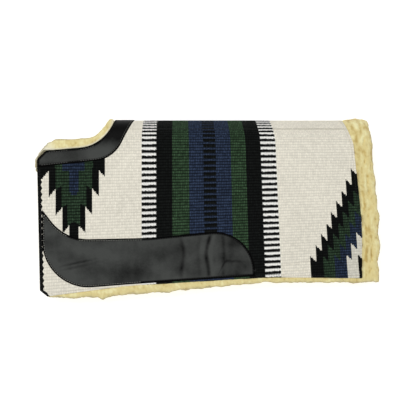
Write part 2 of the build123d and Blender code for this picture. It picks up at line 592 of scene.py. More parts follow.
def make_object(
    name: str,
    vertices: np.ndarray,
    triangles: np.ndarray,
    cloth: np.ndarray | None = None,
    marks: dict[str, np.ndarray] | None = None,
    crease: float = 50,
) -> bpy.types.Object:
    """A mesh object from arrays.

    Args:
        name: the piece's name.
        vertices: X, Y and Z of each vertex.
        triangles: three vertex numbers each, turned outwards.
        cloth: the UV place of each vertex, if the finish follows the surface.
        marks: numbers of each vertex that the finish reads, by name.
        crease: edges sharper than this many degrees stay sharp.

    Returns:
        The new object, linked to the scene.
    """
    mesh = bpy.data.meshes.new(name)
    mesh.vertices.add(len(vertices))
    mesh.vertices.foreach_set("co", vertices.astype(np.float32).ravel())
    mesh.loops.add(triangles.size)
    mesh.loops.foreach_set("vertex_index", triangles.astype(np.int32).ravel())
    mesh.polygons.add(len(triangles))
    mesh.polygons.foreach_set("loop_start", np.arange(0, triangles.size, 3, dtype=np.int32))
    mesh.update(calc_edges=True)
    mesh.validate()
    mesh.polygons.foreach_set("use_smooth", np.ones(len(mesh.polygons), bool))
    mesh.set_sharp_from_angle(angle=math.radians(crease))
    if cloth is not None:
        layer = mesh.uv_layers.new(name="cloth")
        spots = cloth[triangles.ravel()].astype(np.float32)
        layer.data.foreach_set("uv", spots.ravel())
    for mark, values in (marks or {}).items():
        attribute = mesh.attributes.new(mark, "FLOAT", "POINT")
        attribute.data.foreach_set("value", values.astype(np.float32))
    piece = bpy.data.objects.new(name, mesh)
    bpy.context.scene.collection.objects.link(piece)
    return piece


def make_shell(
    name: str,
    net: Net,
    outer: np.ndarray,
    inner: np.ndarray,
    cloth: np.ndarray | None = None,
    marks: dict[str, np.ndarray] | None = None,
    crease: float = 50,
) -> bpy.types.Object:
    """A closed piece: the net's outer and inner sheets, joined round the rim.

    Args:
        name: the piece's name.
        net: the flat net that both sheets share.
        outer: depth of the outer sheet at each point.
        inner: depth of the inner sheet at each point.
        cloth: the UV place of each point.
        marks: numbers of each point that the finish reads.
        crease: edges sharper than this many degrees stay sharp.

    Returns:
        The piece.
    """
    count = len(net.points)
    vertices = np.concatenate([FOLD.place(net.points, outer), FOLD.place(net.points, inner)])
    a, b = net.rim().T
    rim = np.concatenate([np.stack([a, b, b + count], 1), np.stack([a, b + count, a + count], 1)])
    triangles = np.concatenate([net.triangles[:, ::-1], net.triangles + count, rim])
    twice = None if cloth is None else np.concatenate([cloth, cloth])
    doubled = {mark: np.concatenate([values, values]) for mark, values in (marks or {}).items()}
    return make_object(name, vertices, triangles, twice, doubled, crease)


class Half(Enum):
    """Which half of the pad a piece rides on, or both."""

    FAR = "far_half"
    NEAR = "near_half"
    BOTH = "both"

    @property
    def sides(self) -> tuple[str, ...]:
        """The halves' short names."""
        return ("near", "far") if self is Half.BOTH else (self.value.removesuffix("_half"),)


def fasten(
    piece: bpy.types.Object, finish: bpy.types.Material, half: Half, part: str
) -> None:
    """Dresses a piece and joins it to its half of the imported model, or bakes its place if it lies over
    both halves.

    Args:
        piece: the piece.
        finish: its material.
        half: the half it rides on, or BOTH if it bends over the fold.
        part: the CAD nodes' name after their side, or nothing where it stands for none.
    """
    piece.data.materials.append(finish)
    if half is Half.BOTH:
        start, end = FOLD.blend_points()
        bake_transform(piece)
    else:
        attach(piece, half.value)
    if part:
        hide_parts(*(f"{side}_{part}" for side in half.sides))
    LOG.info("%s: %d triangles", piece.name, len(piece.data.polygons))


# ---------------------------------------------------------------- shader expressions


class Graph:
    """A material's node tree, written as expressions."""

    def __init__(self, name: str, owner: bpy.types.ID | None = None) -> None:
        """Starts with an empty node tree.

        Args:
            name: the material's name.
            owner: what owns the nodes in place of a new material.
        """
        self.material = owner or bpy.data.materials.new(name)
        self.material.use_nodes = True
        self.tree = self.material.node_tree
        self.tree.nodes.clear()

    def node(self, kind: str, settings: dict | None = None, **inputs: object) -> bpy.types.Node:
        """Adds a node.

        Args:
            kind: the node's type.
            settings: properties that are set first.
            inputs: values or links of its sockets, by name, with _ for a space.

        Returns:
            The node.
        """
        made = self.tree.nodes.new(kind)
        for key, value in (settings or {}).items():
            setattr(made, key, value)
        for key, value in inputs.items():
            self.feed(made.inputs[key.replace("_", " ")], value)
        return made

    def feed(self, socket: bpy.types.NodeSocket, value: object) -> None:
        """Links a value to a socket, or sets it there.

        Args:
            socket: the socket.
            value: a Value, another socket, a number, a vector or a colour of three parts.
        """
        if isinstance(value, Value):
            value = value.socket
        if isinstance(value, bpy.types.NodeSocket):
            self.tree.links.new(value, socket)
        elif isinstance(value, Sequence) and len(value) == 3 and socket.type == "RGBA":
            socket.default_value = (*value, 1)
        else:
            socket.default_value = value

    def mix(
        self, factor: object, first: object, second: object, how: str = "MIX"
    ) -> bpy.types.NodeSocket:
        """A colour between two, or the two combined by another mode.

        Args:
            factor: share of the second colour.
            first: the first colour.
            second: the second colour.
            how: the mode.

        Returns:
            The colour.
        """
        made = self.node("ShaderNodeMix", {"data_type": "RGBA", "blend_type": how})
        for socket, value in zip((made.inputs[0], *made.inputs[6:8]), (factor, first, second)):
            self.feed(socket, value)
        return made.outputs[2]

    def value(self, socket: bpy.types.NodeSocket) -> Value:
        """A socket as a term of an expression."""
        return Value(self, socket)

    def noise(self, where: object, scale: float, detail: float = 2, rough: float = 0.5) -> Value:
        """Noise from 0 to 1 at a place."""
        size = {"Scale": scale, "Detail": detail, "Roughness": rough}
        return self.value(self.node("ShaderNodeTexNoise", None, Vector=where, **size).outputs["Fac"])

    def mark(self, name: str) -> Value:
        """A number that the mesh carries."""
        return self.value(self.node("ShaderNodeAttribute", {"attribute_name": name}).outputs["Fac"])

    def cloth(self) -> bpy.types.NodeSocket:
        """A place on the flat pad, from the piece's UV map."""
        return self.node("ShaderNodeUVMap", {"uv_map": "cloth"}).outputs[0]

    def vector(self, x: object, y: object) -> bpy.types.NodeSocket:
        """A flat vector from two terms."""
        return self.node("ShaderNodeCombineXYZ", None, X=x, Y=y).outputs[0]

    def bump(self, height: object, distance: float, strength: float = 1.0) -> bpy.types.NodeSocket:
        """A normal from a height that is 0 to 1 over a distance."""
        made = self.node("ShaderNodeBump", None, Height=height, Distance=distance, Strength=strength)
        return made.outputs[0]

    def finish(self, **inputs: object) -> bpy.types.Material:
        """Closes the material with one Principled shader.

        Args:
            inputs: values or links of its sockets, by name, with _ for a space.

        Returns:
            The material.
        """
        shader = self.node("ShaderNodeBsdfPrincipled", None, **inputs)
        self.node("ShaderNodeOutputMaterial", None, Surface=shader.outputs[0])
        return self.material


class Value:
    """A number socket in an expression, where each operator adds a Math node.

    Comparisons give 1 or 0, least and most are the lesser and the greater of two, and clamp holds
    a number from 0 to 1.
    """

    def __init__(self, graph: Graph, socket: bpy.types.NodeSocket) -> None:
        """Wraps a socket of a graph."""
        self.graph = graph
        self.socket = socket

    def _math(self, operation: str, *others: object, turned: bool = False, clamp: bool = False) -> Value:
        """One Math node on this and other terms.

        Args:
            operation: the node's operation.
            others: the other terms.
            turned: whether the other terms come first.
            clamp: whether the result is held from 0 to 1.

        Returns:
            The node's result.
        """
        made = self.graph.node("ShaderNodeMath", {"operation": operation, "use_clamp": clamp})
        terms = (*others, self) if turned else (self, *others)
        for socket, term in zip(made.inputs, terms):
            self.graph.feed(socket, term)
        return Value(self.graph, made.outputs[0])

    __add__ = __radd__ = partialmethod(_math, "ADD")
    __mul__ = __rmul__ = partialmethod(_math, "MULTIPLY")
    __sub__ = partialmethod(_math, "SUBTRACT")
    __rsub__ = partialmethod(_math, "SUBTRACT", turned=True)
    __truediv__ = partialmethod(_math, "DIVIDE")
    __gt__ = partialmethod(_math, "GREATER_THAN")
    __lt__ = partialmethod(_math, "LESS_THAN")
    __abs__ = partialmethod(_math, "ABSOLUTE")
    floor = partialmethod(_math, "FLOOR")
    fract = partialmethod(_math, "FRACT")
    clamp = partialmethod(_math, "ADD", 0.0, clamp=True)
    least = partialmethod(_math, "MINIMUM")
    most = partialmethod(_math, "MAXIMUM")

    def between(self, low: float, high: float) -> Value:
        """1 from low to high, else 0."""
        return (self > low) * (self < high)

    def ramp(self, low: float, high: float) -> Value:
        """A smooth step from 0 at low to 1 at high.

        Args:
            low: where it starts.
            high: where it ends.

        Returns:
            The step.
        """
        made = self.graph.node("ShaderNodeMapRange", {"interpolation_type": "SMOOTHSTEP"}, Value=self)
        for name, number in (("From Min", low), ("From Max", high), ("To Min", 0.0), ("To Max", 1.0)):
            made.inputs[name].default_value = number
        return Value(self.graph, made.outputs[0])


def shade(red: float, green: float, blue: float) -> tuple[float, float, float]:
    """A linear colour from its screen values of 0 to 255."""
    parts = (c / 255 for c in (red, green, blue))
    return tuple(c / 12.92 if c <= 0.04045 else ((c + 0.055) / 1.055) ** 2.4 for c in parts)


# ---------------------------------------------------------------- the woven blanket


@dataclass(frozen=True)
class Weave:
    """How the blanket's threads lie: ribs run from front to rear and knuckles stand across them."""

    knuckle: float = 3.9 * MM
    rib: float = 6.7 * MM
    spine_rib: float = 3.9 * MM
    draw_end: float = 68 * MM
    draw_over: float = 8 * MM
    fan_from: float = 75 * MM
    fan_rate: float = 29.6
    fan_x: float = 258 * MM
    pin_x: float = 306.7 * MM

    def spine_ribs(self, run: np.ndarray) -> np.ndarray:
        """Ribs from the fold: one over the rib's width, which draws in at the spine, added up.

        Args:
            run: places round the fold.

        Returns:
            The number of ribs to each.
        """
        fine = np.linspace(0, 0.5, 4001)
        drawn = 1 / (1 + np.exp((fine - self.draw_end) / self.draw_over))
        rate = 1 / (self.rib - (self.rib - self.spine_rib) * drawn)
        total = np.concatenate([[0], np.cumsum((rate[1:] + rate[:-1]) / 2 * np.diff(fine))])
        return np.interp(np.abs(run), fine, total)

    def ribs(self, x: np.ndarray, run: np.ndarray) -> np.ndarray:
        """Rib number of a place: the ribs from the fold, which also close up evenly towards the rear."""
        fan = self.fan_rate * (x - self.fan_x) * np.maximum(np.abs(run) - self.fan_from, 0)
        return self.spine_ribs(run) + fan

    def run_of(self, x: np.ndarray, number: np.ndarray) -> np.ndarray:
        """Where a rib lies, found by stepping a guess by its error times the rib's width.

        Args:
            x: places along the pad.
            number: the rib's number at each.

        Returns:
            The rib's run at each.
        """
        run = number * self.rib * 0.8
        for _ in range(24):
            run = np.maximum(run + 0.8 * (number - self.ribs(x, run)) * self.spine_rib, 0)
        for _ in range(12):
            run = np.maximum(run + (number - self.ribs(x, run)) * self.rib * 0.7, 0)
        return run

    def cloth_x(self, x: np.ndarray, run: np.ndarray) -> np.ndarray:
        """Where a place lies along the cloth: the rear leans in, and the cloth draws in at the spine.

        Args:
            x: places along the pad.
            run: places round the fold.

        Returns:
            The place along the cloth as it came off the loom.
        """
        lean = 0.1746 * (FOLD.drop_at(run) - 0.186) * (x > self.pin_x)
        drawn = 0.04 * np.exp(-((np.abs(run) / 0.055) ** 3))
        return self.pin_x + (x - self.pin_x) / (1 + lean - drawn)

    def at(self, x: float, drop: float) -> float:
        """Rib number at an x and a drop."""
        return float(self.ribs(np.array(x), FOLD.run_at(np.array(drop))))


WEAVE = Weave()


class Yarn(Enum):
    """The blanket's yarns, by their colour in the finished cloth."""

    CREAM = shade(240, 235, 220)
    WHITE = shade(252, 251, 246)
    BLACK = shade(13, 15, 14)
    GREEN = shade(43, 62, 43)
    NAVY = shade(37, 47, 66)
    ASH = shade(220, 217, 204)
    INK = shade(10, 12, 11)
    MOSS = shade(37, 53, 38)
    DUSK = shade(33, 43, 60)


@dataclass(frozen=True)
class WovenFinish:
    """Weft-faced wool cloth: stripes, ladders and two stepped motifs, woven knuckle by knuckle, with
    painted shade between the knuckles and painted highlight on them.
    """

    rib_wobble: float = 0.45
    knuckle_wobble: float = 1.3
    relief: float = 0.7 * MM
    hem_width: float = 7.4 * MM
    hem_tooth: float = 7 * MM
    ladder_start: float = 242.6 * MM
    stripes: tuple[float, ...] = (31.4, 38.7, 37.5, 34.6, 29.3, 34.3, 35.5, 34.1, 35.5)
    front_axis: float = 86.5 * MM
    front_reach: float = 71.5 * MM
    front_stem: float = 10.1 * MM
    front_step: float = 15.9 * MM
    front_ribs: float = 6.0
    front_tooth: float = 2.6
    front_drops: tuple[float, float] = (243.8 * MM, 300 * MM)
    moss_start: float = 2 * MM
    moss_step: float = 13.3 * MM
    moss_tooth: float = 1.4
    moss_reach: float = 44 * MM
    moss_drop: float = 236 * MM
    dusk_bars: tuple[tuple[float, float], ...] = ((10.5, 166), (25.5, 118), (7, 176))
    rear_start: float = 621 * MM
    rear_foot: float = 314.7 * MM
    rear_step: float = 13.07 * MM
    rear_ribs: float = 4.0
    rear_tooth: float = 2.3
    rear_bands: tuple[tuple[Yarn, float], ...] = (
        (Yarn.INK, 0.0), (Yarn.MOSS, 2.1), (Yarn.DUSK, 4.15), (Yarn.ASH, 6.15), (Yarn.INK, 8.1)
    )

    def front_motif(self, graph: Graph, x: Value, rib: Value, colour: object) -> object:
        """The stepped triangle at the front: two yarns' lower edges step up away from its axis.

        Its stem hangs below it, and bars of a third yarn, by half width and drop, lie over both.

        Args:
            graph: the material's graph.
            x: the knuckle's place along the cloth.
            rib: the knuckle's rib number.
            colour: the cloth without the motif.

        Returns:
            The colour with the motif.
        """
        away = abs(x - self.front_axis)
        count = (away - self.front_stem) / self.front_step
        step = count.floor().least(3.0)
        edge_foot, stem_foot = (WEAVE.at(self.front_axis, drop) for drop in self.front_drops)
        edge = edge_foot - step * self.front_ribs + (count - step) * self.front_tooth
        stem = (away < self.front_stem) * (rib < stem_foot)
        ink = (rib < edge).most(stem) * (x - self.front_axis < self.front_reach)
        colour = graph.mix(ink, colour, Yarn.INK.value)
        count = (away - self.moss_start) / self.moss_step
        step = count.floor().most(0.0)
        foot = WEAVE.at(self.front_axis, self.moss_drop)
        edge = foot - step * self.front_ribs + (count - step) * self.moss_tooth
        colour = graph.mix((rib < edge) * (away < self.moss_reach), colour, Yarn.MOSS.value)
        for width, drop in self.dusk_bars:
            bar = (away < width * MM) * (rib < WEAVE.at(self.front_axis, drop * MM))
            colour = graph.mix(bar, colour, Yarn.DUSK.value)
        return colour

    def rear_motif(self, graph: Graph, x: Value, rib: Value, colour: object) -> object:
        """The stepped bands at the rear: one toothed edge, repeated further back in each colour.

        Args:
            graph: the material's graph.
            x: the knuckle's place along the cloth.
            rib: the knuckle's rib number.
            colour: the cloth without the motif.

        Returns:
            The colour with the motif.
        """
        for yarn, shift in self.rear_bands:
            count = (x - self.rear_start) / self.rear_step - shift
            edge = self.rear_edge(count, count.floor())
            colour = graph.mix((rib > edge) * (count > 0.0), colour, yarn.value)
        return colour

    def rear_edge(self, count: Value | np.ndarray, step: Value | np.ndarray) -> Value | np.ndarray:
        """The rear motif's toothed edge, which rises by whole steps and falls a little across each.

        Args:
            count: how many steps a place lies past the edge's start.
            step: the whole part of it.

        Returns:
            The rib number of the edge there.
        """
        lowest = WEAVE.at(self.rear_start + 6 * MM, self.rear_foot)
        return lowest - step * self.rear_ribs + (count - step) * self.rear_tooth

    def dark_at(self, spot: np.ndarray) -> np.ndarray:
        """Where the cloth is woven in its dark yarns, so that its thread is changed to match.

        Args:
            spot: x and run of each stitch.

        Returns:
            1 on the dark yarns and 0 elsewhere.
        """
        x, run = spot.T
        edge = SHAPES.blanket_front()
        front = x - np.interp(np.abs(run), edge[:, 1], edge[:, 0]) < 10 * MM
        front |= (x > 73 * MM) & (x < 99 * MM) & (FOLD.drop_at(run) < 0.3)
        cloth, rib = WEAVE.cloth_x(x, run), WEAVE.ribs(x, run)
        stripes = (cloth > self.ladder_start) & (cloth < self.ladder_start + sum(self.stripes) * MM)
        rear = np.zeros(len(x), bool)
        for yarn, shift in self.rear_bands:
            count = (cloth - self.rear_start) / self.rear_step - shift
            past = (rib > self.rear_edge(count, np.floor(count))) & (count > 0)
            rear = np.where(past, yarn is not Yarn.ASH, rear)
        return (stripes | front | rear).astype(float)

    def striped(self, graph: Graph, x: Value, rib: Value, bead: Value) -> object:
        """The cream ground with its nine stripes, of which three are ladders of two yarns by turns.

        Args:
            graph: the material's graph.
            x: the knuckle's place along the cloth.
            rib: the place's rib number.
            bead: from -1 to 1 across each knuckle, which swells the ladders' bars.

        Returns:
            The striped colour.
        """
        edges = self.ladder_start + np.concatenate([[0], np.cumsum(self.stripes)]) * MM
        half = (Yarn.WHITE, Yarn.BLACK, Yarn.GREEN, Yarn.NAVY)
        yarns = (*half, Yarn.BLACK, *half[::-1])
        phase = WEAVE.at(258 * MM, 88.1 * MM)
        turn = abs(((rib - phase) * 0.5).fract() - 0.5) * 2
        colour: object = Yarn.CREAM.value
        for number, yarn in enumerate(yarns):
            inside = x.between(float(edges[number]), float(edges[number + 1]))
            colour = graph.mix(inside, colour, yarn.value)
            if number in (0, 8):
                colour = graph.mix(inside * (turn > 0.45 - bead * 0.16), colour, Yarn.BLACK.value)
            if number == 4:
                colour = graph.mix(inside * (turn < 0.40 - bead * 0.10), colour, Yarn.NAVY.value)
        return colour

    def material(self) -> bpy.types.Material:
        """Builds the cloth knuckle by knuckle.

        Returns:
            The material, which reads the piece's UV map, its front mark and its seam mark, the painted
            shade of the spine seam's groove.
        """
        graph = Graph("woven_blanket")
        spot = graph.node("ShaderNodeSeparateXYZ", None, Vector=graph.cloth())
        x, rib = graph.value(spot.outputs[0]), abs(graph.value(spot.outputs[1])) / WEAVE.rib
        place = graph.vector(x, rib * WEAVE.rib)
        wobble = graph.noise(place, 110.0) - 0.5
        strand = rib + wobble * self.rib_wobble
        row = strand.floor()
        column = x / WEAVE.knuckle + wobble * self.knuckle_wobble
        number = column.floor()
        half_knuckle = WEAVE.knuckle / 2
        cell_x = ((x / half_knuckle).floor() + 0.5) * half_knuckle
        cell_rib = ((rib * 2).floor() + 0.5) * 0.5
        cell = graph.vector(number, row)
        random = graph.node("ShaderNodeTexWhiteNoise", {"noise_dimensions": "2D"}, Vector=cell)
        chance = graph.value(random.outputs["Value"])
        across = column.fract() * 2 - 1
        along = strand.fract() * 2 - 1
        bead = abs((x / (WEAVE.knuckle * 0.96)).fract() * 2 - 1) * 2 - 1
        ragged = rib + (chance - 0.5) * 0.12
        colour = self.striped(graph, cell_x, ragged, bead + (chance - 0.5) * 1.0)
        colour = self.front_motif(graph, cell_x, cell_rib, colour)
        colour = self.rear_motif(graph, cell_x, cell_rib, colour)
        tooth = abs((rib * 0.5).fract() - 0.5) * self.hem_tooth
        colour = graph.mix(graph.mark("front") < tooth + self.hem_width, colour, Yarn.BLACK.value)
        height = (1 - along * along) * (1 - across * across * 0.8)
        patchy = graph.noise(place, 9.0, 3)
        fuzz = graph.noise(place, 900.0)
        # Painted shade in the gaps between knuckles and painted highlight on their crests, stronger on
        # dark yarns; chance, patchy and fuzz add random tone.
        grey = graph.value(graph.node("ShaderNodeRGBToBW", None, Color=colour).outputs[0])
        depth = 1.0 - grey.ramp(0.03, 0.5) * 0.86
        light = (1 + depth * (height - 0.48) * 2.0) * (1 + (depth * 0.5 + 0.07) * (chance - 0.5))
        # The seam mark darkens the spine seam's groove with painted shade.
        light = light * (0.92 + patchy * 0.16) * (0.94 + fuzz * 0.12) * (1 - graph.mark("seam") * 0.2)
        tint = graph.node("ShaderNodeCombineColor", None, Red=light, Green=light, Blue=light).outputs[0]
        colour = graph.mix(1.0, colour, tint, "MULTIPLY")
        bump = graph.bump(height + fuzz * 0.25, self.relief)
        sheen = {"Sheen_Weight": 0.04, "Sheen_Roughness": 0.5, "Specular_IOR_Level": 0.08}
        return graph.finish(Base_Color=colour, Roughness=0.95, Normal=bump, **sheen)


@dataclass
class Blanket:
    """The woven blanket: one sheet over both halves, ribbed from front to rear, with a hem."""

    thickness: float = 4 * MM
    rib_height: float = 0.5 * MM
    rib_steps: int = 6
    valleys: float = 0.80 * MM
    rounding: float = 2 * MM
    edge_fall: float = 1.7 * MM
    sunk: float = 1.7 * MM
    hem: float = 6 * MM
    spine_seam_drop: float = 22.7 * MM
    finish: WovenFinish = field(default_factory=WovenFinish)

    def near_grid(self) -> np.ndarray:
        """Places on the near half: rows along the ribs, then a few that meet the free edge.

        Columns are shares of the way from the front edge to the rear edge, close together at both.

        Returns:
            x and run of the places, in rows and columns.
        """
        bottom = SHAPES.blanket_bottom()
        edge = np.array([0, 0.5, 1.2, 2.2, 4, 8, 15]) / 745
        share = np.concatenate([edge, np.linspace(0.036, 0.964, 30), 1 - edge[::-1]])[None]
        last = WEAVE.at(747 * MM, 352 * MM)
        rows = np.arange(0, last, 1 / self.rib_steps)[:, None] + 0 * share
        run = WEAVE.run_of(np.array(400 * MM), rows)
        for _ in range(4):
            run = WEAVE.run_of(SHAPES.blanket_x(run, run, share), rows)
        foot_x = bottom[0, 0] + share * (bottom[-1, 0] - bottom[0, 0])
        foot_run = np.interp(foot_x, bottom[:, 0], bottom[:, 1])
        down = np.linspace(0, 1, 15)[1:, None] ** 0.8
        low_run = run[-1:] + down * (foot_run - run[-1:])
        low_x = SHAPES.blanket_x(low_run[:, :1], low_run[:, -1:], share)
        upper = np.stack([SHAPES.blanket_x(run, run, share), run], -1)
        return np.concatenate([upper, np.stack([low_x, low_run], -1)])

    def build(self) -> bpy.types.Object:
        """Builds the blanket, ribbed in its mesh: each rib's height is the sine of its number, rounded.

        Returns:
            The piece.
        """
        near = self.near_grid()
        net = Net.stitched([near, mirrored(near)])
        x, run = net.points.T
        inset, _ = SHAPES.blanket().inset(net.points)
        ribs = WEAVE.ribs(x, run)
        crest = np.abs(np.sin(np.pi * ribs)) ** 0.8
        edge = rolled(inset, self.rounding, self.edge_fall)
        drop = FOLD.drop_at(run)
        seam = hump(drop, self.spine_seam_drop + 2.4 * MM, 2.2 * MM) * (x > 0.21)
        hem = hump(inset, self.hem, 1.0 * MM) * 0.3 * MM - hump(inset, 3.2 * MM, 2 * MM) * 0.25 * MM
        sunk = sum(ease(patch.inset(net.points)[0], 8 * MM, 28 * MM) for patch in SHAPES.patches())
        outer = self.valleys - self.rib_height * crest + edge + hem - 0.5 * MM * seam + self.sunk * sunk
        inner = self.thickness - 0.3 * MM * (1 - crest) - edge * 0.9
        # A groove along the spine seam on the cream rear, which the seam mark also darkens with painted
        # shade.
        line = hump(drop, self.spine_seam_drop - 0.6 * MM, 1.7 * MM) * (x > 0.5) * (x < 0.716)
        cloth = np.stack([WEAVE.cloth_x(x, run), np.sign(run) * ribs * WEAVE.rib], axis=1)
        front = SHAPES.blanket_front()
        marks = {"front": x - np.interp(np.abs(run), front[:, 1], front[:, 0]), "seam": line}
        piece = make_shell("woven_blanket", net, outer + 0.9 * MM * line, inner, cloth, marks)
        fasten(piece, self.finish.material(), Half.BOTH, "blanket")
        return piece


# ---------------------------------------------------------------- felt and fleece


@dataclass(frozen=True)
class FeltFinish:
    """Pressed grey wool felt with darker and lighter fibres."""

    def material(self) -> bpy.types.Material:
        """Builds the felt.

        Returns:
            The material, which reads the piece's own place.
        """
        graph = Graph("felt_core")
        place = graph.node("ShaderNodeTexCoord").outputs["Object"]
        fibres = graph.noise(place, 420.0, 4, 0.7)
        patchy = graph.noise(place, 30.0, 3)
        pale = (fibres * 0.7 + patchy * 0.3).clamp()
        colour = graph.mix(pale, shade(96, 92, 86), shade(168, 160, 148))
        bump = graph.bump(fibres, 0.6 * MM)
        return graph.finish(Base_Color=colour, Roughness=0.95, Normal=bump, Sheen_Weight=0.15)


@dataclass
class FeltCore:
    """The felt core: one slab over both halves, a little inside the blanket."""

    top: float = 4.1 * MM
    base: float = 13.8 * MM
    inset: float = 5 * MM
    finish: FeltFinish = field(default_factory=FeltFinish)

    def build(self) -> bpy.types.Object:
        """Builds the felt on a coarse grid of the blanket's shape, its edge drawn in and rounded.

        Returns:
            The piece.
        """
        bottom = SHAPES.blanket_bottom()
        share = np.concatenate([[0, 0.004, 0.012], np.linspace(0.03, 0.97, 70), [0.988, 0.996, 1]])[None]
        down = np.concatenate([np.linspace(0, 0.985, 130), [0.993, 1]])[:, None]
        foot_x = bottom[0, 0] + share * (bottom[-1, 0] - bottom[0, 0])
        run = down * np.interp(foot_x, bottom[:, 0], bottom[:, 1])
        near = np.stack([SHAPES.blanket_x(run[:, :1], run[:, -1:], share), run], axis=-1)
        net = Net.stitched([near, mirrored(near)])
        inset, outward = SHAPES.blanket().inset(net.points)
        drawn = net.points - outward * np.maximum(self.inset - inset, 0)[:, None]
        drawn[np.abs(net.points[:, 1]) < 1e-9, 1] = 0
        net = Net(drawn, net.triangles)
        edge = 2.5 * MM * (1 - ease(inset, 0, 9 * MM))
        rough = 0.15 * MM * Unevenness(5).swell(drawn[:, 0] / 0.02, drawn[:, 1] / 0.02)
        piece = make_shell("felt_core", net, self.top + edge + np.abs(rough), self.base - edge)
        fasten(piece, self.finish.material(), Half.BOTH, "felt")
        return piece


@dataclass(frozen=True)
class FleeceFinish:
    """Wool fleece: cream yellow pile, with painted highlight on its crests and painted ochre shade in
    its folds.
    """

    def material(self) -> bpy.types.Material:
        """Builds the pile.

        Returns:
            The material, which reads the piece's UV map and its pile, cut_highlight and rim marks:
            painted highlight and shade.
        """
        graph = Graph("fleece_lining")
        spot = graph.cloth()
        patchy = graph.noise(spot, 30.0, 3)
        drawn = graph.node("ShaderNodeMapping", None, Vector=spot, Scale=(1.0, 0.35, 1.0)).outputs[0]
        streaks = graph.noise(drawn, 130.0, 3, 0.6)
        tufts = graph.noise(spot, 240.0, 4, 0.65)
        fibres = graph.noise(spot, 900.0, 3, 0.7)
        # How high the wool stands, from the pile mark and the noises, sets painted ochre shade where it
        # is low and painted highlight where it is high.
        depth = graph.mark("pile") + (streaks - 0.5) * 0.35 + (patchy - 0.5) * 0.3 + (tufts - 0.5) * 0.3
        depth = depth.clamp()
        colour = graph.mix(depth.ramp(0.0, 0.5), shade(205, 178, 104), shade(238, 221, 155))
        colour = graph.mix(depth.ramp(0.5, 1.0), colour, shade(255, 247, 190))
        colour = graph.mix((fibres - 0.35).clamp() * 0.3, colour, shade(250, 243, 208))
        # Painted highlight along the cut-out's edge beside the leather, and paler wool at the corner in
        # front of it.
        colour = graph.mix(graph.mark("cut_highlight").clamp(), colour, shade(255, 249, 222))
        # Painted shade where the lining's edge rolls away.
        colour = graph.mix((graph.mark("rim") * 0.9).clamp(), colour, shade(150, 140, 102))
        bump = graph.bump(tufts * 0.6 + streaks * 0.5 + fibres * 0.2, 2.4 * MM, 0.9)
        sheen = {"Sheen_Weight": 0.2, "Sheen_Roughness": 0.6, "Specular_IOR_Level": 0.1}
        return graph.finish(Base_Color=colour, Roughness=0.95, Normal=bump, **sheen)


class Wool:
    """The lining at a set of places: where each lies, and how uneven the pile is there.

    Rear, near, comb and nose run from 0 to 1: how far a place belongs to the rear border, to the near
    half, to the wool combed flat at the cut-out and to the corner in front of it. Wide, lumps, tufts,
    locks and rolls are noises of several sizes, of which the locks and rolls are drawn out round the
    fold. The crease is 1 where a stretched noise passes zero, and the valley follows the rear border.
    """

    def __init__(self, points: np.ndarray) -> None:
        """Measures the places.

        Args:
            points: x and run of each.
        """
        x, run = points.T
        self.points, self.x, self.run, self.down = points, x, run, np.abs(run)
        self.inset, self.outward = SHAPES.lining().inset(points)
        self.inside, _ = SHAPES.blanket().inset(points)
        self.rear, self.near = ease(x, 0.705, 0.745), ease(run, -0.05, 0.0)
        self.comb = (x < 0.2) * (self.down < 0.13)
        self.nose = ease(self.down, 0.075, 0.09) * (1 - ease(self.down, 0.146, 0.154))
        self.nose = self.nose * (1 - ease(x, 0.03, 0.05))
        large, small, fine = Unevenness(11), Unevenness(23), Unevenness(37)
        self.wide = wide = large.swell(x / 0.034, run / 0.034)
        self.lumps = 0.5 * wide + 0.35 * small.swell(x / 0.013, run / 0.013)
        self.lumps = self.lumps + 0.3 * fine.swell(x / 0.0062, run / 0.0062)
        self.tufts = 1 - fine.curls(x / 0.0072 + 0.5 * wide, run / 0.0072) - 0.5
        self.locks = fine.swell(x / 0.0042 + 5, run / 0.011 + 0.5 * wide)
        warp = 0.006 * large.swell(x / 0.05 + 7, run / 0.05)
        self.rolls = small.swell((x + 2 * warp) / 0.0105 + 11, run / 0.03 + 0.3 * wide) * self.rear
        stretched = small.swell((x + warp) / 0.015 + 3, run / 0.07 + 0.4 * wide)
        self.crease = hump(stretched, 0, 0.16) * (0.25 + 0.75 * self.rear) * (1 - self.comb)
        self.valley = hump(-self.inside, 9 * MM + 3 * MM * wide, 4 * MM) * self.rear
        self.valley = self.valley * (1 - 0.6 * ease(run, 0.09, 0.14)) * self.near


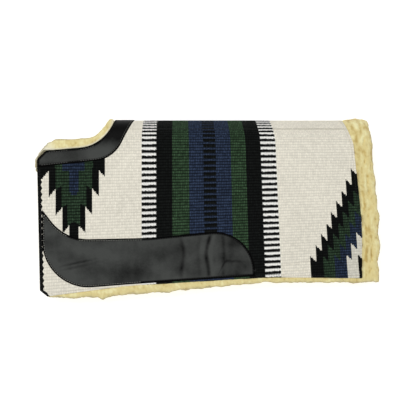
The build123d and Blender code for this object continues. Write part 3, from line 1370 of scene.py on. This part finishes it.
@dataclass
class Fleece:
    """The fleece lining, its border turned up round the blanket: two halves and a spine strip.

    Args:
        thickness: depth of its inner face.
        under_felt: depth of its outer face where the felt covers it.
        middle: depth at which the border's edge stands.
        round_edge: width over which the edge rounds off.
        roundness: power of the border's superellipse.
        spacing: distance between the mesh's places.
        spine_share: share of each half that belongs to the spine strip.
        clumps: height, x and width in millimetres of each clump on the free edge.
        finish: its look.
    """

    thickness: float = 26 * MM
    under_felt: float = 14.2 * MM
    middle: float = 13 * MM
    round_edge: float = 9 * MM
    roundness: float = 2.2
    spacing: float = 2.6 * MM
    spine_share: float = 0.215
    clumps: tuple[tuple[float, float, float], ...] = ((4, 151, 6), (2, 301, 7), (3, 343, 8), (2, 380, 6))
    finish: FleeceFinish = field(default_factory=FleeceFinish)

    def near_grid(self) -> tuple[np.ndarray, int]:
        """Places on the near half: columns from the front edge to the rear, rows from the top down.

        The top is the cut-out at the front and the fold behind it, and the foot is the free edge.

        Returns:
            The grid, and the row where the spine strip ends.
        """
        top, bottom = SHAPES.lining_top(), SHAPES.lining_bottom()
        front, rear = SHAPES.lining_front(), SHAPES.lining_rear()
        steep = np.linspace(126, 172, 30) * MM
        nose = np.linspace(0, 42, 20) * MM
        edge = np.array([0, 0.8, 1.8, 3.2, 5]) * MM
        even = np.arange(5 * MM, 782 * MM, self.spacing)
        end = top[-1, 0]
        across = np.concatenate([edge, nose, steep, even, [end], FOLD.length - edge])
        across = np.unique(np.round(across, 5))
        gap = np.diff(across, prepend=-1)
        across = across[(gap > 0.9 * MM) | (across < 1 * MM)]
        share = (across / FOLD.length)[None]
        upper_x = top[0, 0] + share * (rear[0, 0] - top[0, 0])
        upper = np.interp(upper_x, top[:, 0], top[:, 1])
        upper = np.where(upper_x > end, 0, upper)
        lower_x = bottom[0, 0] + share * (bottom[-1, 0] - bottom[0, 0])
        lower = np.interp(lower_x, bottom[:, 0], bottom[:, 1])
        close = np.array([0.0, 0.9, 2.0, 3.4]) * MM / lower.max()
        between = np.linspace(close[-1], 1 - close[-1], round(lower.max() / self.spacing))[1:-1]
        down = np.concatenate([close, between, 1 - close[::-1]])[:, None]
        run = upper + down * (lower - upper)
        left = np.interp(run[:, :1], front[:, 1], front[:, 0])
        right = np.interp(run[:, -1:], rear[:, 1], rear[:, 0])
        lead = upper_x - left[:1] - share * (right[:1] - left[:1])
        x = left + share * (right - left) + (1 - down) * lead
        row = int(np.searchsorted(down[:, 0], self.spine_share))
        return np.stack([x, run], axis=-1), row

    def face(self, wool: Wool) -> np.ndarray:
        """Depth of the border's face, which is proud of the blanket and uneven.

        Args:
            wool: the places.

        Returns:
            The depth at each, as if its edge weren't rounded.
        """
        peak = (wool.x < 0.25) * (1 - ease(wool.down, 0.012, 0.045))
        notch = ease(wool.x, 0.738, 0.747) * (1 - ease(wool.down, 0.025, 0.05))
        loft = (1.2 + 4.8 * wool.rear * wool.near * (1 - 0.8 * notch) + 5.2 * peak) * MM
        stand = 1 - np.exp(-np.maximum(-wool.inside, 0) / (4.5 * MM))
        rise = 2.2 * wool.lumps + 1.3 * wool.tufts + 3.2 * wool.rolls + 0.8 * wool.locks * wool.rear
        rise = (rise - 2.0 * wool.valley) * (0.45 + 0.55 * wool.rear) * MM * (0.35 + 0.65 * wool.near)
        face = 1.6 * MM - (loft + 1.6 * MM) * stand - rise * (1 - 0.6 * wool.comb)
        return np.maximum(face + 2.4 * MM * wool.crease, (-0.9 - 7.6 * wool.near) * MM)

    def skins(self, wool: Wool) -> tuple[np.ndarray, np.ndarray]:
        """Depths of the lining's faces: a superellipse at its edge, and under the felt further in.

        Args:
            wool: the places.

        Returns:
            The outer and inner depths.
        """
        back = self.thickness - 1.3 * MM + np.minimum(1.2 * wool.lumps + 1.1 * wool.tufts, 0.9) * MM
        share = np.clip(wool.inset / (self.round_edge + 8 * MM * wool.rear), 0, 1)
        swell = (1 - (1 - share) ** self.roundness) ** (1 / self.roundness)
        hidden = ease(wool.inside, 0.2 * MM, 3.4 * MM)
        outer = self.middle + (self.face(wool) - self.middle) * swell
        outer = outer * (1 - hidden) + self.under_felt * hidden
        inner = self.middle + 0.5 * MM + (back - self.middle) * swell
        return outer, np.maximum(inner, outer + 0.4 * MM)

    def moved(self, wool: Wool) -> np.ndarray:
        """The places pushed out near the edge, which makes it ragged, with clumps along its foot.

        Args:
            wool: the places.

        Returns:
            x and run of each.
        """
        x, down = wool.x, wool.down
        ragged = 0.2 + 2.4 * np.clip(wool.wide, -0.8, 1) + 2.2 * wool.lumps + 1.4 * wool.tufts
        clumps = sum(height * hump(x, middle * MM, width * MM) for height, middle, width in self.clumps)
        clumps = (clumps - 0.8) * ease(down, 0.3, 0.35) * (x < 0.7)
        cut_top = (x < 0.25) * (1 - ease(down, 0.03, 0.075))
        ragged = np.where((x < 0.03) & (down > 0.14), ragged - 3.4, ragged)
        bulge = (ragged + 4.6 * wool.nose + 9.0 * cut_top + clumps) * MM
        bulge = bulge * (1 - ease(wool.inset, 0, 16 * MM)) * (1 - 0.5 * wool.comb * (1 - wool.nose))
        off_fold = ease(down, 0, 4 * MM)
        moved = wool.points + wool.outward * bulge[:, None] * off_fold[:, None]
        moved[:, 0] += (1 - off_fold) * (wool.outward[:, 0] * bulge)
        return moved

    def marks(self, wool: Wool) -> dict[str, np.ndarray]:
        """What the finish reads: the pile's height, which sets painted highlight and shade, the painted
        highlight by the leather at the cut-out, and the rim's painted shade.

        Args:
            wool: the places.

        Returns:
            Each mark's number at each place.
        """
        # The pile mark paints highlight on lumps, tufts, locks and rolls, and shade in the valley and
        # the creases.
        pile = 0.56 + (0.5 - 0.3 * wool.rear) * wool.lumps + 0.3 * wool.tufts + 0.25 * wool.locks
        pile = pile + (0.75 - 0.4 * ease(wool.run, 0.08, 0.14)) * wool.rolls
        pile = np.clip(pile - 0.6 * wool.valley - 0.22 * wool.crease, 0, 1)
        # Painted highlight along the cut-out's edge beside the leather, paler at the corner in front of
        # it.
        cut_highlight = (wool.x < 0.2) * (wool.down < 0.125) * ease(wool.down, 0, 4 * MM)
        cut_highlight = cut_highlight * hump(wool.inside, -1.4 * MM, 1.7 * MM)
        cut_highlight = cut_highlight + 0.6 * wool.nose * (1 - ease(wool.inset, 15 * MM, 22 * MM))
        # Painted shade along the lining's rolled edge.
        rim = (1 - ease(wool.inset, 0.5 * MM, 4.5 * MM)) * (0.75 + 0.25 * wool.wide)
        return {"pile": pile, "cut_highlight": cut_highlight, "rim": rim}

    def build(self) -> None:
        """Builds the lining in three pieces, whose surfaces run on from one to the next."""
        near, row = self.near_grid()
        far = mirrored(near)
        parts = {
            "fleece_near_half": ([near[row:]], Half.NEAR, "fleece"),
            "fleece_far_half": ([far[row:]], Half.FAR, "fleece"),
            "fleece_spine": ([near[: row + 1], far[: row + 1]], Half.BOTH, ""),
        }
        material = self.finish.material()
        for name, (grids, half, part) in parts.items():
            net = Net.stitched(grids)
            wool = Wool(net.points)
            shape = Net(self.moved(wool), net.triangles)
            piece = make_shell(name, shape, *self.skins(wool), net.points, self.marks(wool), crease=75)
            fasten(piece, material, half, part)


# ---------------------------------------------------------------- leather


@dataclass(frozen=True)
class LeatherFinish:
    """Black leather with a fine pebbled grain, paler in patches, with painted shade at its rolled edge,
    in its creases and over the fold.
    """

    def material(self) -> bpy.types.Material:
        """Builds the leather.

        Returns:
            The material, which reads the piece's UV map and its inset and wear_and_shade marks.
        """
        graph = Graph("black_leather")
        spot = graph.cloth()
        inset, wear_and_shade = graph.mark("inset"), graph.mark("wear_and_shade")
        grain = graph.node("ShaderNodeTexVoronoi", {"feature": "SMOOTH_F1"}, Vector=spot, Scale=620.0)
        pebble = graph.value(grain.outputs["Distance"])
        patchy = graph.noise(spot, 14.0, 4, 0.6)
        fine = graph.noise(spot, 260.0, 3, 0.6)
        # The wear_and_shade mark brings in random wear and painted shade; patchy and fine add random
        # tone.
        tone = (wear_and_shade + (patchy.ramp(0.3, 0.7) - 0.5) * 0.5 + (fine - 0.5) * 0.35).clamp()
        colour = graph.mix(tone, shade(2, 2, 2), shade(72, 74, 72))
        # Painted shade: the rolled edge is painted near black.
        edge = 1 - inset.ramp(4.4 * MM, 6.4 * MM)
        colour = graph.mix(edge, colour, shade(1, 1, 1))
        rough = 0.5 + tone * 0.16 + fine * 0.08 + edge * 0.3
        bump = graph.bump(pebble * 0.6 + fine * 0.5, 0.25 * MM, 0.6)
        return graph.finish(Base_Color=colour, Roughness=rough, Normal=bump, Specular_IOR_Level=0.1)


@dataclass
class LeatherPiece:
    """Shared shape of the leathers: a crowned sheet with a rolled edge and a sunk seam."""

    top: float = -0.9 * MM
    base: float = 0.75 * MM
    rounding: float = 2.2 * MM
    edge_fall: float = 1.4 * MM
    seam: float = 4 * MM
    groove: float = 0.4 * MM
    puff: float = 0.15 * MM
    sunk: float = 0.0

    def skins(self, inset: np.ndarray, relief: np.ndarray) -> tuple[np.ndarray, np.ndarray]:
        """Depths of both faces: a quarter circle at the edge, a groove at the seam, and the relief.

        Args:
            inset: distance of each point inside the leather's edge.
            relief: height of creases and wrinkles at each point.

        Returns:
            The outer and inner depths.
        """
        roll = rolled(inset, self.rounding, self.edge_fall)
        groove = self.groove * hump(inset, self.seam, 0.9 * MM)
        puff = self.puff * hump(inset, 2.4 * MM, 0.8 * MM)
        outer = self.top + roll + groove - puff - relief
        base = self.base + self.sunk * ease(inset, 8 * MM, 28 * MM)
        return outer, np.maximum(base, outer + 0.15 * MM)


def graded(count: int) -> np.ndarray:
    """Shares from 0 to 1, closer together at both ends: seven tenths a cosine's fall, the rest even.

    Args:
        count: how many shares.

    Returns:
        The shares.
    """
    even = np.linspace(0, 1, count)
    return 0.7 * (1 - np.cos(np.pi * even)) / 2 + 0.3 * even


@dataclass
class WitherBand(LeatherPiece):
    """The leather band round the wither cut-out, over the fold from one front edge to the other."""

    material: bpy.types.Material | None = None

    def outline(self) -> Outline:
        """The band's edge, over both halves."""
        outer, inner = SHAPES.band_edges()
        return Outline(np.concatenate([outer[::-1], mirrored(outer), mirrored(inner)[::-1], inner]))

    def build(self) -> bpy.types.Object:
        """Builds the band, ruled between its two edges, with painted shade over the fold and paler low
        down on each side.

        Returns:
            The piece.
        """
        outer, inner = SHAPES.band_edges()
        share = graded(36)[None, :, None]
        near = outer[:, None] + share * (inner - outer)[:, None]
        net = Net.stitched([near, mirrored(near)])
        x, run = net.points.T
        inset, _ = self.outline().inset(net.points)
        slow = Unevenness(51)
        relief = 0.22 * slow.swell(x / 0.045, run / 0.045) + 0.08 * slow.swell(x / 0.012, run / 0.012)
        outer, inner = self.skins(inset, relief * MM * ease(inset, 0, 5 * MM))
        drop = FOLD.drop_at(run)
        # Painted shade: the band goes near black where it curves over the fold and pales with the drop;
        # it is also darker at its lower front end.
        wear_and_shade = -0.4 + ease(drop, 0.024, 0.075) * (1.18 + 0.22 * slow.swell(x / 0.06, run / 0.04))
        wear_and_shade = wear_and_shade * (1 - 0.45 * ease(drop, 0.093, 0.106) * (x < 0.055))
        marks = {"inset": inset, "wear_and_shade": wear_and_shade}
        piece = make_shell("wither_band", net, outer, inner, net.points, marks)
        fasten(piece, self.material, Half.BOTH, "wither_leather")
        return piece


@dataclass
class WearLeather(LeatherPiece):
    """A wear leather along the free edge of one half, pointed in front and round behind.

    Args:
        sunk: how far it sinks into the blanket.
        half: the half that it lies on.
        material: its finish.
        valleys: depth, x, width and share of the bend of each soft valley, in millimetres.
        tone_by_x: x and how pale the leather is there.
    """

    sunk: float = 1.7 * MM
    half: Half = Half.NEAR
    material: bpy.types.Material | None = None
    valleys: tuple[tuple[float, float, float, float], ...] = (
        (1.9, 398, 4.4, 1), (-0.9, 407.5, 4.5, 1), (0.8, 330, 4.5, -1),
        (-0.4, 338, 5, -1), (0.7, 376, 5, 0.6), (0.8, 427, 4, -0.4),
    )
    tone_by_x: tuple[tuple[float, float], ...] = (
        (0.02, 0.84), (0.12, 0.82), (0.19, 0.56), (0.25, 0.76), (0.39, 0.66), (0.5, 0.46)
    )

    def outline(self) -> Outline:
        """The leather's edge on this half."""
        near, far = SHAPES.patches()
        return near if self.half is Half.NEAR else far

    def creases(self, x: np.ndarray, run: np.ndarray) -> np.ndarray:
        """Depths in mm of the soft valleys across the leather and of the small folds at its front.

        Each valley is a hump in x about a line that bends with the drop as two sines.

        Args:
            x: places along the pad.
            run: places round the fold.

        Returns:
            The depths, which are below zero beside the main valley.
        """
        drop = FOLD.drop_at(run)
        bend = 6 * MM * np.sin(drop * 21 + 1) + 2.5 * MM * np.sin(drop * 67)
        across = sum(
            depth * hump(x + share * bend, middle * MM, width * MM)
            for depth, middle, width, share in self.valleys
        )
        slant = drop - 0.331 + 0.22 * (x - 0.09)
        front = hump(slant, 0.0, 2.4 * MM) + 0.7 * hump(slant, 9 * MM, 3 * MM)
        front = front * hump(x, 90 * MM, 38 * MM)
        turn = drop - 0.326 - 0.034 * (1 - ease(x, 0.411, 0.437))
        rear = hump(turn, 0.0, 3 * MM) * ease(x, 0.408, 0.422) * (1 - ease(x, 0.45, 0.485))
        return across * ease(drop, 0.245, 0.275) + 1.5 * front + 0.9 * rear

    def build(self) -> bpy.types.Object:
        """Builds the leather: columns through both edges' points, each filled from the top down.

        Returns:
            The piece.
        """
        top, bottom = SHAPES.patch_edges()
        along = np.concatenate([resampled(edge, step=2.2 * MM)[:, 0] for edge in (top, bottom)])
        along = np.unique(np.round(along, 5))
        along = along[np.diff(along, prepend=-1) > 0.12 * MM]
        climb = [edge[np.concatenate([[True], np.diff(edge[:, 0]) > 1e-9])] for edge in (top, bottom)]
        high, low = (np.interp(along, edge[:, 0], edge[:, 1]) for edge in climb)
        share = graded(60)
        grid = np.stack([along[:, None] + 0 * share, high[:, None] + share * (low - high)[:, None]], -1)
        near = self.half is Half.NEAR
        net = Net.stitched([grid if near else mirrored(grid)])
        x, run = net.points.T
        inset, _ = self.outline().inset(net.points)
        inset = np.maximum(inset, 0)
        slow = Unevenness(81)
        creases = self.creases(x, run) * ease(inset, 2 * MM, 12 * MM) * (1.0 if near else 0.5)
        rough = 0.6 * slow.swell(x / 0.07, run / 0.05) + 0.22 * slow.swell(x / 0.022, run / 0.022)
        relief = np.minimum(rough, 0.5) * ease(inset, 2 * MM, 14 * MM)
        relief = relief - creases * ease(inset, 10 * MM, 28 * MM)
        outer, inner = self.skins(inset, relief * MM)
        streak = slow.swell(x / 0.012 + 3, run / 0.2)
        broad = slow.swell(x / 0.07, run / 0.04)
        # tone_by_x and the noises set the tone; subtracting the creases adds painted shade in the
        # valleys and painted highlight beside the main one.
        wear_and_shade = np.interp(x, *zip(*self.tone_by_x))
        wear_and_shade = np.clip(wear_and_shade + 0.4 * broad + 0.07 * streak - 0.38 * creases, 0, 1)
        name = f"wear_leather_{self.half.sides[0]}"
        piece = make_shell(name, net, outer, inner, net.points, {"inset": inset, "wear_and_shade": wear_and_shade})
        fasten(piece, self.material, self.half, "wear_leather")
        return piece


# ---------------------------------------------------------------- stitching


@dataclass(frozen=True)
class ThreadFinish:
    """Waxed sewing thread, with a fine twist along it."""

    name: str
    tint: tuple[float, float, float]
    dark: tuple[float, float, float] = shade(14, 15, 15)

    def material(self) -> bpy.types.Material:
        """Builds the thread, dark where the dark mark is 1.

        Returns:
            The material, which reads the piece's own place.
        """
        graph = Graph(self.name)
        place = graph.node("ShaderNodeTexCoord").outputs["Object"]
        twist = graph.noise(place, 1400.0, 2)
        light = tuple(min(1.0, c * 1.3 + 0.005) for c in self.tint)
        colour = graph.mix(graph.mark("dark"), graph.mix(twist, self.tint, light), self.dark)
        return graph.finish(Base_Color=colour, Roughness=0.6, Normal=graph.bump(twist, 0.2 * MM))


@dataclass
class Seam:
    """A row of stitches along lines on the flat pad.

    Args:
        name: the piece's name.
        half: the half that it rides on.
        slot: its finish's slot; not used.
        part: the sewn thread that it replaces on each half.
        material: the thread's finish.
        depth: how deep the stitches' middles lie.
        fade: how dark the whole row is at least.
        pitch: distance from stitch to stitch.
        length: length of each stitch.
        width: width of each stitch.
    """

    name: str
    half: Half
    slot: str
    part: str
    material: bpy.types.Material
    depth: float
    fade: float = 0.0
    pitch: float = 5.6 * MM
    length: float = 4.2 * MM
    width: float = 1.1 * MM

    def stitch(self) -> tuple[np.ndarray, np.ndarray]:
        """One stitch of unit size: rings of six points, of radius root of one less the cube of the way.

        Returns:
            Its points and its triangles.
        """
        along = np.array([-1, -0.86, -0.45, 0.45, 0.86, 1])
        radius = np.sqrt(1 - np.abs(along) ** 3)
        turn = np.arange(6) * np.pi / 3
        ring = np.stack([np.cos(turn), np.sin(turn)], axis=1)
        body = [np.column_stack([np.full(6, a), ring * r]) for a, r in zip(along[1:-1], radius[1:-1])]
        points = np.concatenate([[[-1, 0, 0]], *body, [[1, 0, 0]]])
        here = np.arange(6)
        after = (here + 1) % 6
        faces = [np.stack([0 * here, 1 + after, 1 + here], 1)]
        for first in (1, 7, 13):
            a, b = first + here, first + after
            faces += [np.stack([a, b, b + 6], 1), np.stack([a, b + 6, a + 6], 1)]
        faces.append(np.stack([0 * here + 25, 19 + here, 19 + after], 1))
        return points, np.concatenate(faces)

    def build(self, lines: Sequence[np.ndarray]) -> bpy.types.Object:
        """Builds the seam: a stitch at each even step of the lines, turned to the line and the surface.

        Args:
            lines: x and run of each line's points.

        Returns:
            The piece.
        """
        spots, ways = [], []
        for line in lines:
            even = resampled(line, step=self.pitch)
            step = np.diff(even, axis=0)
            spots.append((even[1:] + even[:-1]) / 2)
            ways.append(step / np.linalg.norm(step, axis=1)[:, None])
        spot, way = np.concatenate(spots), np.concatenate(ways)
        centre = FOLD.place(spot, self.depth)
        normal = FOLD.place(spot, self.depth - 1 * MM) - centre
        normal /= np.linalg.norm(normal, axis=1)[:, None]
        ahead = FOLD.place(spot + way * MM, self.depth) - FOLD.place(spot - way * MM, self.depth)
        ahead /= np.linalg.norm(ahead, axis=1)[:, None]
        across = np.cross(normal, ahead)
        points, faces = self.stitch()
        size = np.array([self.length, self.width, self.width * 0.8]) / 2
        axes = np.stack([ahead, across, normal], axis=1)
        vertices = centre[:, None] + (points * size) @ axes
        count = len(points)
        triangles = faces[None] + count * np.arange(len(spot))[:, None, None]
        dark = {"dark": np.repeat(np.maximum(WovenFinish().dark_at(spot), self.fade), count)}
        vertices, triangles = vertices.reshape(-1, 3), triangles.reshape(-1, 3)
        piece = make_object(self.name, vertices, triangles, marks=dark, crease=80)
        fasten(piece, self.material, self.half, self.part)
        return piece


def uncovered(line: np.ndarray, covers: Sequence[Outline], margin: float) -> list[np.ndarray]:
    """The stretches of a line that lie outside every cover by a margin.

    Args:
        line: x and run of the line's points.
        covers: the outlines that hide it.
        margin: distance that it keeps from them.

    Returns:
        Each stretch's points.
    """
    clear = np.ones(len(line), bool)
    for cover in covers:
        clear &= cover.inset(line)[0] < -margin
    cuts = np.flatnonzero(np.diff(clear.astype(int))) + 1
    parts = np.split(line, cuts)
    states = [clear[0] ^ bool(k % 2) for k in range(len(parts))]
    return [part for part, state in zip(parts, states) if state and len(part) > 3]


@dataclass
class Stitching:
    """All of the pad's seams."""

    leather_depth: float = -0.75 * MM
    wither_fade: float = 0.6
    blanket_depth: float = 0.25 * MM
    hem_inset: float = 6 * MM
    spine_drop: float = 22.7 * MM
    margin: float = 1.5 * MM

    def build(self, band: WitherBand, patches: Sequence[WearLeather]) -> list[bpy.types.Object]:
        """Sews the leathers, the hem and the spine.

        Args:
            band: the wither band.
            patches: the two wear leathers.

        Returns:
            The pieces of the hem's and the spine's seams, which lie on the blanket.
        """
        waxed = ThreadFinish("leather_thread", shade(142, 143, 136)).material()
        cream = ThreadFinish("blanket_thread", shade(206, 199, 182)).material()
        rows = [(band, "wither_band_stitching", Half.BOTH, "wither_leather_thread", self.wither_fade)]
        for patch in patches:
            name = f"wear_leather_stitching_{patch.half.sides[0]}"
            rows.append((patch, name, patch.half, "wear_leather_thread", 0.0))
        for leather, name, half, part, fade in rows:
            seam = Seam(name, half, "leather_thread", part, waxed, self.leather_depth, fade)
            seam.build([leather.outline().line_inside(leather.seam)])
        covers = [leather.outline() for leather in (band, *patches)]
        run = float(FOLD.run_at(np.array(self.spine_drop)))
        along = np.linspace(0.2, 0.706, 400)
        spine = [np.stack([along, np.full_like(along, side * run)], axis=1) for side in (1, -1)]
        hem = [SHAPES.blanket().line_inside(self.hem_inset)]
        sewn = []
        for kind, lines, depth in (
            ("hem", hem, self.blanket_depth),
            ("spine", spine, self.blanket_depth - 0.1 * MM),
        ):
            seam = Seam(f"{kind}_stitching", Half.BOTH, "blanket_thread", f"{kind}_thread", cream, depth)
            bare = [part for line in lines for part in uncovered(line, covers, self.margin)]
            sewn.append(seam.build(bare))
        return sewn


# ---------------------------------------------------------------- studio


@dataclass
class Studio:
    """A pale floor, soft light and a long lens square to the pad's near half."""

    view_width: float = 952.2 * MM
    distance: float = 2.5
    aim_x: float = 393.7 * MM
    aim_drop: float = 204.2 * MM

    def camera(self) -> None:
        """Puts the camera square to the near half's face, over its middle."""
        angle = 2 * FOLD.tilt
        aim = FOLD.place(np.array([[self.aim_x, float(FOLD.run_at(np.array(self.aim_drop)))]]), 0.0)[0]
        back = np.array([0, -math.sin(angle), math.cos(angle)])
        data = bpy.data.cameras.new("camera")
        data.sensor_width = 36
        data.lens = 36 * self.distance / self.view_width
        data.clip_start, data.clip_end = 0.05, 30
        camera = bpy.data.objects.new("camera", data)
        camera.location = aim + back * self.distance
        camera.rotation_euler = (angle, 0, 0)
        bpy.context.scene.collection.objects.link(camera)
        bpy.context.scene.camera = camera

    def area(self, name: str, place: tuple[float, float, float], size: float, power: float) -> None:
        """Adds a square soft light that points at the pad's middle.

        Args:
            name: its name.
            place: where it stands.
            size: the length of its side.
            power: its power in watts.
        """
        data = bpy.data.lights.new(name, "AREA")
        data.shape, data.size, data.energy = "SQUARE", size, power
        light = bpy.data.objects.new(name, data)
        light.location = place
        way = np.array([0, 0, 0.05]) - np.array(place)
        turn = math.atan2(way[1], way[0]) - math.pi / 2
        light.rotation_euler = (math.acos(-way[2] / np.linalg.norm(way)), 0, turn)
        bpy.context.scene.collection.objects.link(light)

    def floor(self) -> None:
        """A wide white sheet just under the pad."""
        size, level = 40.0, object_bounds()[0][2] - 0.2 * MM
        corners = np.array([[-size, -size], [size, -size], [size, size], [-size, size]])
        points = np.column_stack([corners, np.full(4, level)])
        floor = make_object("floor", points, np.array([[0, 1, 2], [0, 2, 3]]))
        graph = Graph("floor")
        # Faint random mottling of the floor's white.
        mottle = graph.noise(graph.node("ShaderNodeTexCoord").outputs["Object"], 3.0)
        colour = graph.mix(mottle, (0.96, 0.96, 0.96), (0.98, 0.98, 0.98))
        glow = {"Emission_Color": (1, 1, 1), "Emission_Strength": 0.45}
        finish = graph.finish(Base_Color=colour, Roughness=0.9, Specular_IOR_Level=0.1, **glow)
        floor.data.materials.append(finish)
        floor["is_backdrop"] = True

    def build(self) -> None:
        """Lights and floor, and the look of the picture."""
        scene = bpy.context.scene
        world = bpy.data.worlds.new("studio")
        graph = Graph("studio", world)
        way = graph.node("ShaderNodeTexCoord").outputs["Generated"]
        height = graph.value(graph.node("ShaderNodeSeparateXYZ", None, Vector=way).outputs[2])
        light = height.ramp(-0.1, 1.0) * 0.62 + 0.12
        sky = graph.node("ShaderNodeBackground", None, Color=(1, 1, 1), Strength=light)
        graph.node("ShaderNodeOutputWorld", None, Surface=sky.outputs[0])
        scene.world = world
        self.area("key", (-0.9, 0.9, 2.3), 1.6, 17)
        self.area("fill", (1.1, -1.3, 2.0), 1.8, 9)
        scene.view_settings.view_transform = "Standard"
        self.floor()


def main() -> None:
    """Builds the pad from its lining outwards, then the studio."""
    logging.basicConfig(level=logging.INFO, format="%(name)s: %(message)s")
    studio = Studio()
    studio.camera()
    Fleece().build()
    FeltCore().build()
    blanket = Blanket().build()
    leather = LeatherFinish().material()
    band = WitherBand(material=leather)
    patches = [WearLeather(half=half, material=leather) for half in (Half.NEAR, Half.FAR)]
    band.build()
    for patch in patches:
        patch.build()
    sewn = Stitching().build(band, patches)
    studio.build()


if __name__ == "__main__":
    main()
